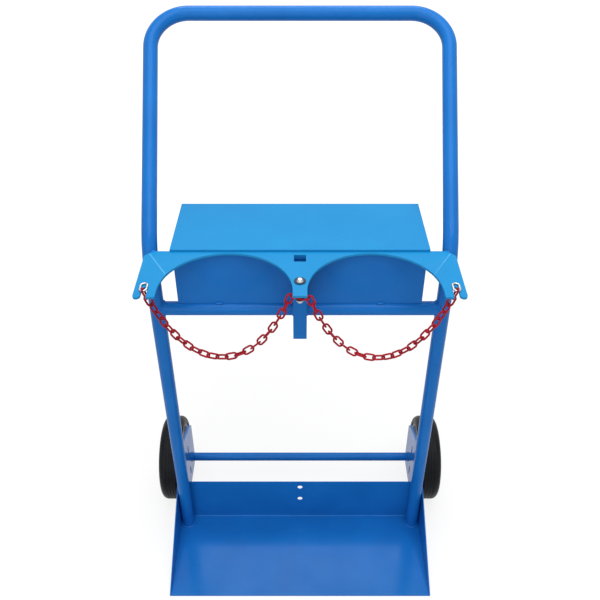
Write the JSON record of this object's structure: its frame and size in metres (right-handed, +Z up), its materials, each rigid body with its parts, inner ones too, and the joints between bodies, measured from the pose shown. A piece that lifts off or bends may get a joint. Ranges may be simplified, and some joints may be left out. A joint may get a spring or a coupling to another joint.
{
  "type": "gas cylinder trolley",
  "caption": "Upright gas cylinder trolley: bent tube frame, twin cylinder seats with restraint chains, lidded toolbox, folded base tray and large wheels.",
  "frame": {"origin": "on the floor, on the underside of the base tray, midway between the axes of the two legs", "axes": "+Z up; +X to the right for someone who faces the cylinders; the cylinders stand at -Y, the handle leans back over +Y"},
  "size_m": [0.685, 0.575, 1.0985],
  "materials": {
    "frame_paint": "semi-gloss blue paint",
    "panel_paint": "semi-gloss blue paint on flat sheet",
    "chain_paint": "red coating on chain links",
    "zinc_plate": "zinc plate",
    "dark_steel": "dull steel",
    "tyre_rubber": "smooth black rubber",
    "rim_plastic": "light grey moulding",
    "bush_plastic": "white moulding"
  },
  "bodies": {
    "frame": {"left_leg": "frame_paint", "right_leg": "frame_paint", "left_handle_side": "frame_paint", "right_handle_side": "frame_paint", "handle_top": "frame_paint", "cross_tube": "frame_paint", "mast_socket": "frame_paint", "toolbox_body": "frame_paint", "toolbox_tabs": "frame_paint", "base_tray": "frame_paint", "left_axle_plate": "frame_paint", "right_axle_plate": "frame_paint", "axle": "frame_paint", "cylinder_yoke": "panel_paint", "chain_anchor_links": "chain_paint", "hinge_body_leaves": "zinc_plate", "hinge_pins": "zinc_plate", "inner_washers": "zinc_plate", "outer_washers": "zinc_plate", "split_pins": "zinc_plate", "chain_bolt": "zinc_plate", "chain_bolt_nuts": "zinc_plate", "chain_ear_links": "zinc_plate", "chain_bolt_washers": "dark_steel"},
    "left_wheel": {"left_tyre": "tyre_rubber", "left_rim": "rim_plastic", "left_bushes": "bush_plastic"},
    "right_wheel": {"right_tyre": "tyre_rubber", "right_rim": "rim_plastic", "right_bushes": "bush_plastic"},
    "lid": {"toolbox_lid": "panel_paint", "hinge_lid_leaves": "zinc_plate"},
    "left_chain": {"left_chain": "chain_paint"},
    "right_chain": {"right_chain": "chain_paint"}
  },
  "joints": [
    {"name": "left_wheel_spin", "type": "hinge", "parent": "frame", "child": "left_wheel", "pos_m": [-0.306, 0.12, 0.1], "axis": [1, 0, 0], "continuous": true},
    {"name": "right_wheel_spin", "type": "hinge", "parent": "frame", "child": "right_wheel", "pos_m": [0.306, 0.12, 0.1], "axis": [1, 0, 0], "continuous": true},
    {"name": "lid_hinge", "type": "hinge", "parent": "frame", "child": "lid", "pos_m": [0, 0.16511, 0.768], "axis": [-1, 0, 0], "range_deg": [0, 110]},
    {"name": "left_chain_swing", "type": "hinge", "parent": "frame", "child": "left_chain", "pos_m": [-0.01537, -0.09785, 0.7535], "axis": [0.9893, 0.1002, -0.1057], "range_deg": [-25, 20]},
    {"name": "right_chain_swing", "type": "hinge", "parent": "frame", "child": "right_chain", "pos_m": [0.01537, -0.09785, 0.7495], "axis": [0.9875, -0.1, 0.1218], "range_deg": [-25, 20]}
  ]
}
